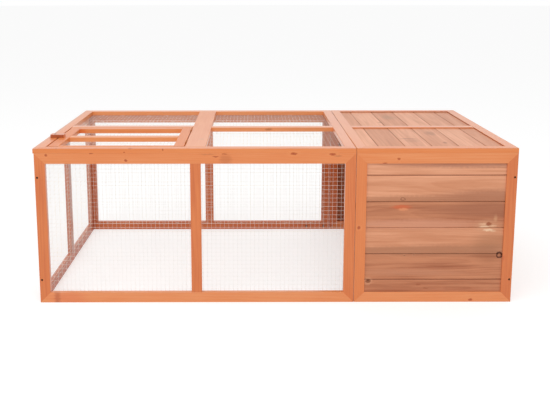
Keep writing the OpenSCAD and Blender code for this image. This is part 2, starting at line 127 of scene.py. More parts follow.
# How deep the stain stands in a board's upper V joint, from the board's number, where it
# isn't the usual depth.
JOINT_STAIN = {"front_house_boards": {2: 0.2}}
USUAL_JOINT_STAIN = {"house_roof_boards": 0.7}
# How strongly the low steps down from the roof's frame to its boards get painted shade of the
# recess, drawn in the end grain's dark colour.
PAINTED_STEP_SHADE = {"house_roof_side_rails": 1.2, "house_roof_rear_rail": 1.0,
              "house_roof_batten": 0.3}
# Pieces whose finish is duller than the others', as a part of the full sheen: one number,
# or two for a stick that goes from the one to the other along its length.
GLOSS = {
    "lid_stiles": 0.42, "lid_rear_rail": 0.38, "lid_mid_rail": 0.55, "lid_front_rail": 0.45,
    "run_roof_front_rail": (0.6, 0.85), "run_roof_left_rail": 0.75,
    "run_roof_mid_rail": (0.85, 0.55),
    "house_roof_front_rail": 0.65, "house_roof_side_rails": 0.85,
    "house_roof_boards": 0.75, "side_run_bottom_rail": 0.6, "rear_house_boards": 0.4,
}
# Photographed faces have their own knots, so no others are drawn on them.
CLEAR_OF_WILD_KNOTS = {n for n in TONES_AND_INSIDE_SHADE if not n.startswith(("rear", "turn"))}

# Knots seen in the photograph: middle and half-sizes in mm.
LATH_KNOTS = [
    ((-709.1, -375, 480), (4.5, 6, 4.5)), ((-568.9, -375, 484), (7, 5, 1.6)),
    ((-468.4, -375, 488), (2.5, 6, 2)), ((-463.1, -375, 462), (5.5, 6, 4)),
    ((-348.2, -375, 497), (2.5, 6, 4)), ((-185.4, -375, 474.5), (11, 5, 1.9)),
    ((-157.3, -375, 483), (9, 5, 2)), ((55.6, -375, 483.5), (13, 6, 4.8)),
    ((176.1, -375, 482), (11, 6, 4.8)), ((381.1, -375, 466.8), (5.5, 6, 4.5)),
    ((261.5, -375, 245.4), (6, 7, 6)), ((-448.4, -371, 500), (10, 5, 1.5)),
    ((337.3, -375, 454), (8, 5, 1.6)), ((622, -375, 8), (8, 6, 4)),
    ((-677.7, -372, 499), (3, 4, 2.5)),
]
BOARD_KNOTS = [
    ((294.7, -371, 68.9), (7.5, 6, 7)), ((408, -371, 153), (3, 4, 2.2)),
    ((437, -371, 155), (3, 4, 2.2)),
]
# Knots with a dark rim and plain wood inside, and how dark the rim is.
BOARD_RINGS = [
    ((707.6, -371, 154.7), (8.8, 12, 9.5), 1.0), ((397.5, -371, 337.7), (8, 9, 5), 0.4),
]


# ---------------------------------------------------------------- small tools

# Points nearer than this, in metres, are one.
SAME_POINT = 2e-6
# Faces that lie flatter to each other than this make one face.
FLAT = math.radians(0.5)


def linear(code):
    """An sRGB hex colour as the linear colour that Blender works in."""
    parts = [int(code[i:i + 2], 16) / 255 for i in (0, 2, 4)]
    return tuple(c / 12.92 if c <= 0.04045 else ((c + 0.055) / 1.055) ** 2.4
                 for c in parts) + (1.0,)


def add(tree, kind, inputs=(), **settings):
    """Adds a node with its settings. Its inputs come in order, or in a dictionary.

    An output socket is linked, a node is linked from its first output in use, a list of
    either goes into one input, and any other value is set."""
    node = tree.nodes.new(kind)
    node.location = (180 * (len(tree.nodes) % 12), -220 * (len(tree.nodes) // 12))
    for name, value in settings.items():
        setattr(node, name, value)
    keyed = inputs if isinstance(inputs, dict) else dict(enumerate(inputs))
    for key, value in keyed.items():
        for source in value if isinstance(value, list) else [value]:
            if isinstance(source, bpy.types.Node):
                source = next(socket for socket in source.outputs if socket.enabled)
            if isinstance(source, bpy.types.NodeSocket):
                tree.links.new(source, node.inputs[key])
            else:
                node.inputs[key].default_value = source
    return node


def own_tree(owner):
    """Gives a material or a world nodes of its own, and returns its empty tree."""
    owner.use_nodes = True
    owner.node_tree.nodes.clear()
    return owner.node_tree


def linked(name, data):
    """A new object in the scene."""
    piece = bpy.data.objects.new(name, data)
    bpy.context.scene.collection.objects.link(piece)
    return piece


def plain_mesh(holder):
    """What a holder's modifier makes, as a plain mesh. The holder is taken away."""
    graph = bpy.context.evaluated_depsgraph_get()
    mesh = bpy.data.meshes.new_from_object(holder.evaluated_get(graph), depsgraph=graph)
    holder.modifiers.clear()
    bpy.data.objects.remove(holder)
    return mesh


def extent(solid):
    """The lowest and the highest corner of a solid's vertices."""
    return [Vector([pick(vert.co[i] for vert in solid) for i in range(3)])
            for pick in (min, max)]


def islands(bm):
    """The separate solids in a mesh, each a list of vertices, in order along X, Y and Z."""
    left = set(bm.verts)
    found = []
    while left:
        stack = [left.pop()]
        solid = []
        while stack:
            vert = stack.pop()
            solid.append(vert)
            for edge in vert.link_edges:
                other = edge.other_vert(vert)
                if other in left:
                    left.remove(other)
                    stack.append(other)
        found.append(solid)
    return sorted(found, key=lambda solid: [round(c, 4) for c in extent(solid)[0]])


def merged_copy(node, joined=True):
    """A CAD node's mesh with its loose triangles merged and, if joined, its flat areas
    made whole faces."""
    bm = bmesh.new()
    bm.from_mesh(NODES[node].data)
    bmesh.ops.remove_doubles(bm, verts=bm.verts, dist=SAME_POINT)
    if joined:
        bmesh.ops.dissolve_limit(bm, angle_limit=FLAT, verts=bm.verts, edges=bm.edges)
    return bm


def new_piece(name, mesh, material, body, nodes=()):
    """A finished piece: linked, given its material, and declared to the frame."""
    mesh.materials.clear()
    mesh.materials.append(material)
    piece = linked(name, mesh)
    if nodes:
        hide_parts(*nodes)
    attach(piece, body)
    return piece


# ---------------------------------------------------------------- wood

# Edges that turn more than this are eased, and on laths only those longer than this, in
# metres.
SHARP_EDGE = math.radians(25)
LONG_EDGE = 0.015
# How much of the full easing a lath's edge has.
EASED_ON_TOP = 1.0
EASED_BETWEEN = 0.3
EASED_AT_MITRE = 0.15
# How far the heart of the tree lies from a stick's middle, in metres: along the stick,
# across it, and above or below it.
HEART_ALONG = 0.6
HEART_ACROSS = 0.03
HEART_DEPTH = (0.022, 0.055)
# The tones that a stick draws from when it has none in TONES_AND_INSIDE_SHADE.
DRAWN_TONES = (0.2, 0.8)
# How far in from the house's outline a face lies that looks on its boards, in metres.
WELL_INSIDE = 10 * MM
# How much of a face's normal lies along an axis: nearly all where the face is square to
# it, most where it looks that way at all, and almost none where it stands beside it.
SQUARE = 0.999
FACING = 0.8
BESIDE = 0.1
# A soft step from one value to another, in a Map Range node.
SOFT = {"interpolation_type": "SMOOTHSTEP"}


def eased(bm, width, shortest, share):
    """The mesh with its long outer edges rounded, as a sander leaves them, and only the
    rounding shaded soft. share gives an edge's part of the width. Uses up the bmesh."""
    weight = bm.edges.layers.float.new("bevel_weight_edge")
    for edge in bm.edges:
        if (len(edge.link_faces) == 2 and edge.is_convex and edge.calc_length() > shortest
                and edge.calc_face_angle(0.0) > SHARP_EDGE):
            edge[weight] = share(edge)
    flat = {tuple(round(c, 2) for c in face.normal) for face in bm.faces}
    mesh = bpy.data.meshes.new("eased")
    bm.to_mesh(mesh)
    bm.free()
    holder = linked("holder", mesh)
    bevel = holder.modifiers.new("easing", "BEVEL")
    bevel.limit_method = "WEIGHT"
    bevel.width = width
    bevel.segments = 2
    result = plain_mesh(holder)
    for face in result.polygons:
        face.use_smooth = tuple(round(c, 2) for c in face.normal) not in flat
    return result


def all_alike(edge):
    """The full easing on every edge, as on boards, the turn button and hardware."""
    return 1.0


def hand_sanded(edge):
    """How much of the full easing a lath's edge has: all of it on top of the roof, where
    hands go, little where laths lie flush side by side, and least at a sawn mitre."""
    if any(max(map(abs, face.normal)) < SQUARE for face in edge.link_faces):
        return EASED_AT_MITRE
    on_top = min(vert.co.z for vert in edge.verts) > ROOF_TOP - 0.1 * MM
    return EASED_ON_TOP if on_top else EASED_BETWEEN


def in_house(face):
    """Whether a face of the roof's frame lies well inside the house's outline."""
    low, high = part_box("house_roof_side_rails")
    middle = face.calc_center_median()
    return all(low[i] + WELL_INSIDE < middle[i] < high[i] - WELL_INSIDE for i in range(2))


def grain_layers(bm, node, lie=None):
    """Writes where each point lies in its own stick of timber, for the wood materials.

    grain holds metres along, across and through the stick, measured from the heart of
    the tree it was sawn from; tone its lightness, partly painted shade on the inside's
    pieces; knotty whether knots grow anywhere; gloss how much of the finish's full sheen
    it has; end_grain how deep the stain stands, and how much painted shade
    the steps down to the roof's boards get.
    A stick lies along its longest side, or along the axis whose number is lie."""
    grain = bm.verts.layers.float_vector.new("grain")
    tone = bm.verts.layers.float.new("tone")
    knotty = bm.verts.layers.float.new("knotty")
    gloss = bm.verts.layers.float.new("gloss")
    end = bm.faces.layers.float.new("end_grain")
    draw = random.Random(f"timber of {node}")
    given = TONES_AND_INSIDE_SHADE.get(node)
    sheen = GLOSS.get(node, 1.0)
    first, last = sheen if isinstance(sheen, tuple) else (sheen, sheen)
    for number, solid in enumerate(islands(bm)):
        low, high = extent(solid)
        size = high - low
        middle = (low + high) / 2
        order = sorted(range(3), key=lambda i: -size[i])
        if lie is not None:
            order = [lie] + [i for i in order if i != lie]
        along, across = order[:2]
        heart = Vector((draw.uniform(-HEART_ALONG, HEART_ALONG),
                        draw.uniform(-HEART_ACROSS, HEART_ACROSS),
                        draw.uniform(*HEART_DEPTH)))
        if draw.random() < 0.5:
            heart.z = -heart.z
        lightness = given[number] if given else draw.uniform(*DRAWN_TONES)
        for vert in solid:
            spot = vert.co - middle
            vert[grain] = Vector([spot[i] for i in order]) + heart
            vert[tone] = lightness
            vert[knotty] = 0.0 if node in CLEAR_OF_WILD_KNOTS else 1.0
            vert[gloss] = first + (last - first) * (0.5 + spot[along] / size[along])
        for face in {face for vert in solid for face in vert.link_faces}:
            face[end] = 1.0 if abs(face.normal[along]) > FACING else 0.0
            if max(map(abs, face.normal)) < FACING and node.endswith("boards"):
                above = face.calc_center_median()[across] > middle[across]
                joint = number if above else number - 1
                face[end] = JOINT_STAIN.get(node, {}).get(
                    joint, USUAL_JOINT_STAIN.get(node, 1.0))
            # The steps down from the roof's frame to its boards: painted shade of the recess.
            elif node in PAINTED_STEP_SHADE and abs(face.normal.z) < BESIDE and in_house(face):
                face[end] = PAINTED_STEP_SHADE[node]


def wood_piece(node, material, width, lie=None, shortest=LONG_EDGE,
               share=hand_sanded):
    """A CAD stick or set of boards with eased edges and its place in the timber."""
    mesh = eased(merged_copy(node), width, shortest, share)
    bm = bmesh.new()
    bm.from_mesh(mesh)
    grain_layers(bm, node, lie)
    bm.to_mesh(mesh)
    bm.free()
    return new_piece(node + "_wood", mesh, material, BODY_OF[node], [node])


def stirred(tree, place, cell_mm, reach_mm):
    """A place moved about by noise, so that a knot measured from it isn't a plain oval."""
    stir = add(tree, "ShaderNodeTexNoise",
               {"Vector": place, "Scale": 1000 / cell_mm, "Detail": 2.0})
    stir = add(tree, "ShaderNodeVectorMath", (stir.outputs["Color"], (0.5, 0.5, 0.5)),
               operation="SUBTRACT")
    return add(tree, "ShaderNodeVectorMath", (stir, (reach_mm * MM,) * 3, place),
               operation="MULTIPLY_ADD")


def knot_distance(tree, place, knots):
    """How far a point is from the nearest listed knot, in knot half-sizes."""
    nearest = None
    for middle, half in knots:
        moved = add(tree, "ShaderNodeVectorMath", (place, tuple(c * MM for c in middle)),
                    operation="SUBTRACT")
        scaled = add(tree, "ShaderNodeVectorMath", (moved, tuple(1 / (h * MM) for h in half)),
                     operation="MULTIPLY")
        length = add(tree, "ShaderNodeVectorMath", (scaled,), operation="LENGTH")
        if nearest is None:
            nearest = length
        else:
            nearest = add(tree, "ShaderNodeMath", (nearest, length), operation="MINIMUM")
    return nearest


def wood_material(name, look, stain, knots, rings=()):
    """Softwood: growth rings cut lengthwise, fine fibre, patches of stain, and knots.

    stain is the finish's middle colour, and look holds the rest, as FIR_LATH and
    FIR_BOARD do."""
    material = bpy.data.materials.new(name)
    tree = own_tree(material)
    grain = add(tree, "ShaderNodeAttribute", attribute_name="grain").outputs["Vector"]
    tone, knotty, end, gloss = [
        add(tree, "ShaderNodeAttribute", attribute_name=layer).outputs["Fac"]
        for layer in ("tone", "knotty", "end_grain", "gloss")]
    place = add(tree, "ShaderNodeTexCoord").outputs["Object"]
    place = stirred(tree, place, 9, 7)

    # Noises drawn out along the stick: how long and how wide their blots are in mm, their
    # detail, and a seed that sets each apart. The last one is the fibres, drawn 0.9 mm wide
    # to show at all, where real ones are finer than a tenth of that.
    noises = []
    for (along, across), detail, seed in (
            ((14, 6), 2.0, 3.1), (look["wander"], 2.0, 0.0), (look["patch"], 3.0, 7.7),
            (look["streak"], 3.0, 1.3), ((28, 0.9), 2.0, 5.5)):
        sized = add(tree, "ShaderNodeVectorMath",
                    (grain, (1000 / along, 1000 / across, 1000 / across)),
                    operation="MULTIPLY")
        noises.append(add(tree, "ShaderNodeTexNoise",
                          {"Vector": sized, "Scale": 1.0, "Detail": detail, "W": seed},
                          noise_dimensions="4D"))
    ripple, wander, patch, streak, fibre = noises

    # Knots: the photographed ones, and wild ones on the faces that nobody saw. Chance
    # says how much of its own cell a wild one fills, and the edge of each ripples.
    listed = knot_distance(tree, place, knots)
    cells = add(tree, "ShaderNodeVectorMath", (grain, (1000 / look["knot_cell"],) * 3),
                operation="MULTIPLY")
    wild = add(tree, "ShaderNodeTexVoronoi", {"Vector": cells, "Scale": 1.0},
               voronoi_dimensions="2D")
    chance = add(tree, "ShaderNodeSeparateColor", (wild.outputs["Color"],))
    reach = add(tree, "ShaderNodeMapRange", (chance, 0.62, 0.95), **SOFT)
    reach = add(tree, "ShaderNodeMath", (reach, 0.085), operation="MULTIPLY")
    reach = add(tree, "ShaderNodeMath", (reach, knotty), operation="MULTIPLY")
    reach = add(tree, "ShaderNodeMath", (reach, 0.0005), operation="MAXIMUM")
    wild = add(tree, "ShaderNodeMath", (wild, reach), operation="DIVIDE")
    knot = add(tree, "ShaderNodeMath", (listed, wild), operation="MINIMUM")
    ragged = add(tree, "ShaderNodeMath", (ripple, 0.5, -0.25), operation="MULTIPLY_ADD")
    knot = add(tree, "ShaderNodeMath", (knot, ragged), operation="ADD")

    # Growth rings round the heart, wandering along the stick and bending past knots. A
    # year's wood darkens slowly to its late wood and ends sharply.
    tapered = add(tree, "ShaderNodeVectorMath", (grain, (look["taper"], 1.0, 1.0)),
                  operation="MULTIPLY")
    radius = add(tree, "ShaderNodeVectorMath", (tapered,), operation="LENGTH")
    turns = add(tree, "ShaderNodeMath", (radius, 1000 / look["ring_pitch"]),
                operation="MULTIPLY")
    swing = add(tree, "ShaderNodeMath", (wander, look["wander_rings"]),
                operation="MULTIPLY")
    turns = add(tree, "ShaderNodeMath", (turns, swing), operation="ADD")
    bend = add(tree, "ShaderNodeMapRange", (knot, 0.6, 3.2, 1.0, 0.0), **SOFT)
    bend = add(tree, "ShaderNodeMath", (bend, 0.9), operation="MULTIPLY")
    turns = add(tree, "ShaderNodeMath", (turns, bend), operation="ADD")
    year = add(tree, "ShaderNodeMath", (turns,), operation="FRACT")
    slow = add(tree, "ShaderNodeMapRange", (year, 0.30, 0.86), **SOFT)
    sharp = add(tree, "ShaderNodeMapRange", (year, 0.90, 1.0, 1.0, 0.0), **SOFT)
    late = add(tree, "ShaderNodeMath", (slow, sharp), operation="MINIMUM")

    # How light the wood is: its tone, then broad patches and streaks of stain, the rings,
    # and single fibres.
    uneven = [add(tree, "ShaderNodeMath", (noise, 0.5), operation="SUBTRACT")
              for noise in (patch, streak, fibre)]
    level = tone
    for value, strength in (
            (uneven[0], look["patch_strength"]), (uneven[1], look["streak_strength"]),
            (late, -look["ring_strength"]), (uneven[2], look["fibre_strength"])):
        level = add(tree, "ShaderNodeMath", (value, strength, level),
                    operation="MULTIPLY_ADD")

    # The colours, each laid over the ones before it where its own mask is 1.
    coats = []
    for start, stop, colour in ((-0.7, -0.15, linear(look["dark"])),
                                (-0.15, 0.5, tuple(stain) + (1.0,)),
                                (0.4, 1.1, linear(look["light"]))):
        mask = add(tree, "ShaderNodeMapRange", (level, start, stop), **SOFT)
        coats.append((mask, colour))

    # End grain and the V joints between boards drink more stain. The steps down to the roof's
    # boards get the same dark colour as painted shade of the recess.
    mask = add(tree, "ShaderNodeMath", (end, 0.75), operation="MULTIPLY")
    coats.append((mask, linear(look["end"])))

    # A knot: pale halo where the stain is thin, brown body, dark heart. Round a wild knot
    # the halo is faint, because the wood there can be dark.
    faint = add(tree, "ShaderNodeMath", (knotty, -0.8, 1.0), operation="MULTIPLY_ADD")
    halo = add(tree, "ShaderNodeMapRange", (knot, 1.0, 2.4, look["halo_strength"], 0.0),
               **SOFT)
    mask = add(tree, "ShaderNodeMath", (halo, faint), operation="MULTIPLY")
    coats.append((mask, linear(look["halo"])))
    for start, stop, share, colour in ((0.75, 1.15, 1.0, "knot"),
                                       (0.15, 0.55, 0.75, "knot_heart")):
        strength = share * look["knot_strength"]
        mask = add(tree, "ShaderNodeMapRange", (knot, start, stop, strength, 0.0), **SOFT)
        coats.append((mask, linear(look[colour])))

    # Spots that the photograph shows, their edges drawn out by the streaks.
    # Most spots are the stain's own patches; the greyish streak on the run roof's left rail
    # is painted sheen.
    drawn_out = add(tree, "ShaderNodeMath", (streak, 1.2, -0.6), operation="MULTIPLY_ADD")
    for middle, half, code, strength, soft in look["spots"]:
        spot = knot_distance(tree, place, [(middle, half)])
        spot = add(tree, "ShaderNodeMath", (spot, drawn_out), operation="ADD")
        mask = add(tree, "ShaderNodeMapRange",
                   (spot, 1.0 - soft, 1.0 + soft, strength, 0.0), **SOFT)
        coats.append((mask, linear(code)))

    # Ring knots lie over the spots: a dark rim, and plain wood inside.
    for middle, half, strength in rings:
        ring = knot_distance(tree, place, [(middle, half)])
        ragged = add(tree, "ShaderNodeMath", (ripple, 0.35, -0.17),
                     operation="MULTIPLY_ADD")
        ring = add(tree, "ShaderNodeMath", (ring, ragged), operation="ADD")
        inner = add(tree, "ShaderNodeMapRange", (ring, 0.5, 0.8), **SOFT)
        outer = add(tree, "ShaderNodeMapRange", (ring, 1.0, 1.25, 1.0, 0.0), **SOFT)
        rim = add(tree, "ShaderNodeMath", (inner, outer), operation="MINIMUM")
        mask = add(tree, "ShaderNodeMath", (rim, strength), operation="MULTIPLY")
        coats.append((mask, linear(look["ring"])))

    colour = linear(look["deep"])
    for mask, coat in coats:
        colour = add(tree, "ShaderNodeMix", {0: mask, 6: colour, 7: coat},
                     data_type="RGBA")

    # The finish: satin where it lies thick, duller on some pieces, and uneven with the
    # fibres and the late wood, which stand proud of the early wood.
    sheen = add(tree, "ShaderNodeMath", (gloss, look["coat"]), operation="MULTIPLY")
    rough = add(tree, "ShaderNodeMath", (fibre, look["rough_vary"], look["roughness"]),
                operation="MULTIPLY_ADD")
    raised = add(tree, "ShaderNodeMath", (fibre, 0.7), operation="MULTIPLY")
    relief = add(tree, "ShaderNodeMath", (late, 0.5, raised), operation="MULTIPLY_ADD")
    beside = add(tree, "ShaderNodeMapRange", (knot, 0.8, 1.1), **SOFT)
    relief = add(tree, "ShaderNodeMath", (beside, -0.3, relief), operation="MULTIPLY_ADD")
    bump = add(tree, "ShaderNodeBump",
               {"Strength": look["bump"], "Distance": 0.4 * MM, "Height": relief})
    shader = add(tree, "ShaderNodeBsdfPrincipled",
                 {"Base Color": colour, "Roughness": rough, "Normal": bump, "IOR": 1.5,
                  "Specular IOR Level": 0.1, "Coat Weight": sheen, "Coat Roughness": 0.28})
    add(tree, "ShaderNodeOutputMaterial", (shader,))
    return material


# What a look holds, with lengths in mm: the stain's colours from the deepest to the
# lightest, except the middle one, which is a setting, and those of end grain and knots; how
# strongly halos and knots show, and how far apart wild knots grow; how wide a year's ring
# is, how strongly it shows, and how much the log tapers; how long and wide the waves are in
# which the rings wander, and by how many rings; the same sizes for patches and streaks of
# stain, and how strongly they and the fibres show; the finish; and the spots: middle,
# half-sizes, colour, strength, and how soft the edge is.

# Planed fir under a thin orange wood stain: satin, grain just showing through.
FIR_LATH = {
    "deep": "96542f", "dark": "c55f2d", "light": "e8965f",
    # The end grain's colour also serves as painted shade on the steps down to the house
    # roof's boards.
    "end": "9c4a26", "knot": "b4490e", "knot_heart": "923a0c", "halo": "e6965a",
    "halo_strength": 0.25, "knot_strength": 0.8, "knot_cell": 75,
    "ring_pitch": 4.2, "ring_strength": 0.10, "taper": 0.035,
    "wander": (260, 40), "wander_rings": 2.2, "patch": (210, 45), "patch_strength": 0.55,
    "streak": (130, 4.5), "streak_strength": 0.35,
    "fibre_strength": 0.12, "roughness": 0.34, "rough_vary": 0.14, "bump": 0.25, "coat": 0.95,
    "spots": [
        # A greyish streak along the outer top edge of the run roof's left rail: painted
        # sheen.
        ((-745, 0, 500), (4, 380, 6), "cc9a82", 0.6, 0.6),
        ((-272, 37, 500), (7, 34, 6), "de8248", 0.8, 0.5),
        ((-238, -226, 500), (9, 9, 6), "c8895c", 0.45, 0.5),
        ((-675, -44, 492), (16, 9, 9), "dc6c30", 0.7, 0.5),
        ((-155, -375, 466), (17, 6, 15), "c26a36", 0.6, 0.6),
        ((-210, -375, 482), (20, 6, 1.6), "bd6e3e", 0.6, 0.6),
        ((-13.9, -16.5, 493), (13, 7, 4), "b0622f", 0.75, 0.5),
        ((192, -375, 476.5), (11, 6, 2.4), "bd6e3e", 0.6, 0.6),
        ((721, -375, 147), (4, 6, 10), "cc6238", 0.6, 0.5),
        ((154.1, 360, 13), (4.5, 6, 4.5), "4a1f10", 0.9, 0.4),
        ((224.6, 360, 13), (4.5, 6, 4.5), "4a1f10", 0.9, 0.4),
        ((-655, -375, 14), (55, 6, 22), "dd744a", 0.45, 0.6),
        ((-693, -375, 14), (9, 6, 26), "bd6236", 0.75, 0.6),
    ],
}
# Flat-sawn fir boards under the same stain, taken up unevenly: browner, streaky, matt.
FIR_BOARD = {
    "deep": "8a4022", "dark": "9f5c3e", "light": "efae8a",
    "end": "86492f", "knot": "8a4a2a", "knot_heart": "451c0c", "halo": "e0aa84",
    "ring": "4e1f0a",
    "halo_strength": 0.35, "knot_strength": 0.8, "knot_cell": 95,
    "ring_pitch": 5.5, "ring_strength": 0.09, "taper": 0.05,
    "wander": (330, 45), "wander_rings": 3.0, "patch": (260, 30), "patch_strength": 0.9,
    "streak": (340, 7.0), "streak_strength": 0.6,
    "fibre_strength": 0.2, "roughness": 0.42, "rough_vary": 0.15, "bump": 0.3, "coat": 0.38,
    "spots": [
        ((430, -371, 255), (205, 9, 15), "d8987a", 0.7, 0.5),
        ((420, -371, 338), (190, 9, 11), "b07555", 0.75, 0.6),
        ((672, -371, 158), (42, 9, 28), "95593a", 0.45, 0.7),
        ((682, -371, 197), (52, 9, 26), "ae7755", 0.5, 0.7),
        ((394, -371, 313), (27, 9, 7), "d2643c", 0.75, 0.55),
        ((400, -371, 304), (15, 9, 4), "e39468", 0.7, 0.5),
        ((665, -371, 250), (30, 9, 17), "d8a481", 0.45, 0.8),
        ((652, -371, 256), (13, 9, 3.4), "e4b894", 0.65, 0.5),
        ((657, -371, 248), (17, 9, 2.6), "e9c4a2", 0.8, 0.4),
        ((684, -371, 250), (10, 9, 2.2), "e4b894", 0.7, 0.5),
        ((669, -371, 237), (13, 9, 3.4), "efcba8", 0.85, 0.4),
        ((684, -371, 233), (9, 9, 2), "e4b894", 0.6, 0.5),
        ((690, -371, 276), (5, 9, 11), "dba67c", 0.5, 0.7),
        ((670.3, -371, 257.1), (9, 6, 6), "9a5232", 0.85, 0.35),
        ((455, -371, 57), (7, 4, 2.5), "a05c3c", 0.7, 0.4),
        ((480, -371, 44.5), (7, 4, 2), "a05c3c", 0.7, 0.4),
        ((549, -269, 496), (6, 12, 6), "a0603f", 0.75, 0.5),
        ((404.8, 106, 496), (7, 14, 6), "ad7452", 0.65, 0.6),
        ((455, 220, 496), (22, 40, 5), "b2825f", 0.6, 0.7),
        ((540, -109, 496), (15, 32, 5), "a9714f", 0.65, 0.6),
        ((444, -201, 496), (26, 4, 6), "95593a", 0.75, 0.4),
        ((450, -232, 496), (22, 26, 6), "b57a5a", 0.45, 0.6),
        ((700, -371, 345), (190, 9, 22), "a96d50", 0.75, 0.5),
        ((690, -371, 303), (200, 9, 22), "a4664a", 0.75, 0.5),
        ((500, -371, 170), (280, 9, 15), "ab7557", 0.65, 0.5),
        ((430, -371, 98), (150, 9, 10), "c58768", 0.55, 0.6),
        ((640, -371, 448), (250, 9, 11), "a8705a", 0.65, 0.6),
    ],
}


class RUN_PG_wood(PropertyGroup):
    """Sizes and colours of the wooden parts that the looks add to the CAD."""

    lath_easing: FloatProperty(
        name="Lath edge easing", description="How far a lath's sharp edges are rounded",
        default=1.2 * MM, unit="LENGTH")
    board_easing: FloatProperty(
        name="Board edge easing", description="How far a board's edges are rounded",
        default=0.4 * MM, unit="LENGTH")
    button_easing: FloatProperty(
        name="Button edge easing", description="How far the turn button's edges are rounded",
        default=1.6 * MM, unit="LENGTH")
    lath_stain: FloatVectorProperty(
        name="Lath stain", description="Middle colour of the stained laths",
        default=linear("de7f43")[:3], size=3, subtype="COLOR")
    board_stain: FloatVectorProperty(
        name="Board stain", description="Middle colour of the stained boards",
        default=linear("cd8964")[:3], size=3, subtype="COLOR")


def lath_material(sizes):
    """The laths' one material, made on first use."""
    name = "Stained fir laths, planed, satin"
    return bpy.data.materials.get(name) or wood_material(name, FIR_LATH, sizes.lath_stain,
                                                         LATH_KNOTS)


def dress_laths(nodes, sizes):
    """Dresses a list of laths in their one material."""
    for node in nodes:
        wood_piece(node, lath_material(sizes), sizes.lath_easing)


class RUN_OT_wall_laths(Operator):
    """Dress the laths of the four walls"""

    bl_idname = "run.wall_laths"
    bl_label = "Wall laths"

    def execute(self, context):
        dress_laths(WALL_LATHS, context.scene.run_wood)
        return {"FINISHED"}


class RUN_OT_roof_laths(Operator):
    """Dress the laths of the run's roof and the house's roof"""

    bl_idname = "run.roof_laths"
    bl_label = "Roof laths"

    def execute(self, context):
        dress_laths(ROOF_LATHS, context.scene.run_wood)
        return {"FINISHED"}


class RUN_OT_lid_laths(Operator):
    """Dress the laths of the lift-up lid"""

    bl_idname = "run.lid_laths"
    bl_label = "Lid laths"

    def execute(self, context):
        dress_laths(LID_LATHS, context.scene.run_wood)
        return {"FINISHED"}


class RUN_OT_boards(Operator):
    """Dress the tongue-and-groove boards of the house"""

    bl_idname = "run.boards"
    bl_label = "House boards"

    def execute(self, context):
        sizes = context.scene.run_wood
        material = wood_material("Stained fir boards, flat-sawn, matt", FIR_BOARD,
                                 sizes.board_stain, BOARD_KNOTS, BOARD_RINGS)
        for node in BOARDS:
            wood_piece(node, material, sizes.board_easing,
                       shortest=50 * MM, share=all_alike)
        return {"FINISHED"}


class RUN_OT_turn_button(Operator):
    """Dress the wooden turn button that holds the lid down"""

    bl_idname = "run.turn_button"
    bl_label = "Turn button"

    def execute(self, context):
        sizes = context.scene.run_wood
        wood_piece("turn_button", lath_material(sizes), sizes.button_easing,
                   lie=1, shortest=1 * MM, share=all_alike)
        return {"FINISHED"}


# ---------------------------------------------------------------- metal

# Steel faces that turn more than this meet at a sharp edge.
SHARP_STEEL = math.radians(32)
# Edges of hardware that are longer than this, in metres, are broken.
HARDWARE_EDGE = 0.004
# How near to a screw's end a point lies that shows its radius there, in metres.
SCREW_END = 1e-5
# Each metal: two colours that its patches run between, its mean roughness, how wide the
# patches are in mm, how metallic it is, and its specular level. The patches are drawn wider
# than a coating's real ones, which are too fine to show.
METALS = {
    # Zinc-plated steel: pale, slightly blue, softly shiny.
    "Zinc-plated steel": ("a9abac", "d0d1cf", 0.36, 6, 1.0, 0.5),
    # Phosphated steel of the frame screws: dark brown and dull.
    "Dark brown phosphated steel": ("2e211b", "4c392f", 0.5, 3, 1.0, 0.5),
    # Steel painted in the wood's own stain colour: matt, and no bare metal to see.
    "Brown-painted steel": ("b87243", "c67f4e", 0.6, 5, 0.0, 0.15),
    # Galvanised wire: light grey zinc with a dull shine.
    "Galvanised wire": ("ddd6cb", "f3eee6", 0.34, 9, 1.0, 0.5),
}


def metal(name):
    """A metal of METALS, made on first use: its colour and its roughness follow one noise."""
    made = bpy.data.materials.get(name)
    if made:
        return made
    dark, light, roughness, patch_mm, metallic, specular = METALS[name]
    material = bpy.data.materials.new(name)
    tree = own_tree(material)
    place = add(tree, "ShaderNodeTexCoord").outputs["Object"]
    patch = add(tree, "ShaderNodeTexNoise",
                {"Vector": place, "Scale": 1000 / patch_mm, "Detail": 3.0})
    colour = add(tree, "ShaderNodeMix", {0: patch, 6: linear(dark), 7: linear(light)},
                 data_type="RGBA")
    rough = add(tree, "ShaderNodeMath", (patch, 0.2, roughness - 0.1),
                operation="MULTIPLY_ADD")
    shader = add(tree, "ShaderNodeBsdfPrincipled",
                 {"Base Color": colour, "Metallic": metallic, "Roughness": rough,
                  "Specular IOR Level": specular})
    add(tree, "ShaderNodeOutputMaterial", (shader,))
    return material


class RUN_PG_wire(PropertyGroup):
    """Sizes of the welded net and its staples."""

    pitch: FloatProperty(
        name="Net pitch", description="From one wire's middle to the next one's",
        default=13.6 * MM, unit="LENGTH")
    diameter: FloatProperty(
        name="Wire diameter", description="How thick the net's wire is",
        default=0.55 * MM, unit="LENGTH")
    waver: FloatProperty(
        name="Waver", description="How far a wire strays from straight",
        default=0.7 * MM, unit="LENGTH")
    staple_spacing: FloatProperty(
        name="Staple spacing", description="From one staple to the next along a lath",
        default=95 * MM, unit="LENGTH")
    staple_crown: FloatProperty(
        name="Staple crown", description="How wide a staple is",
        default=9 * MM, unit="LENGTH")
    staple_leg: FloatProperty(
        name="Staple leg", description="How long a staple's legs are",
        default=5 * MM, unit="LENGTH")
    staple_wire: FloatProperty(
        name="Staple wire", description="How thick a staple's wire is",
        default=0.9 * MM, unit="LENGTH")
    seed: IntProperty(
        name="Seed", description="Number that the waver and the staples' turns start from",
        default=7)


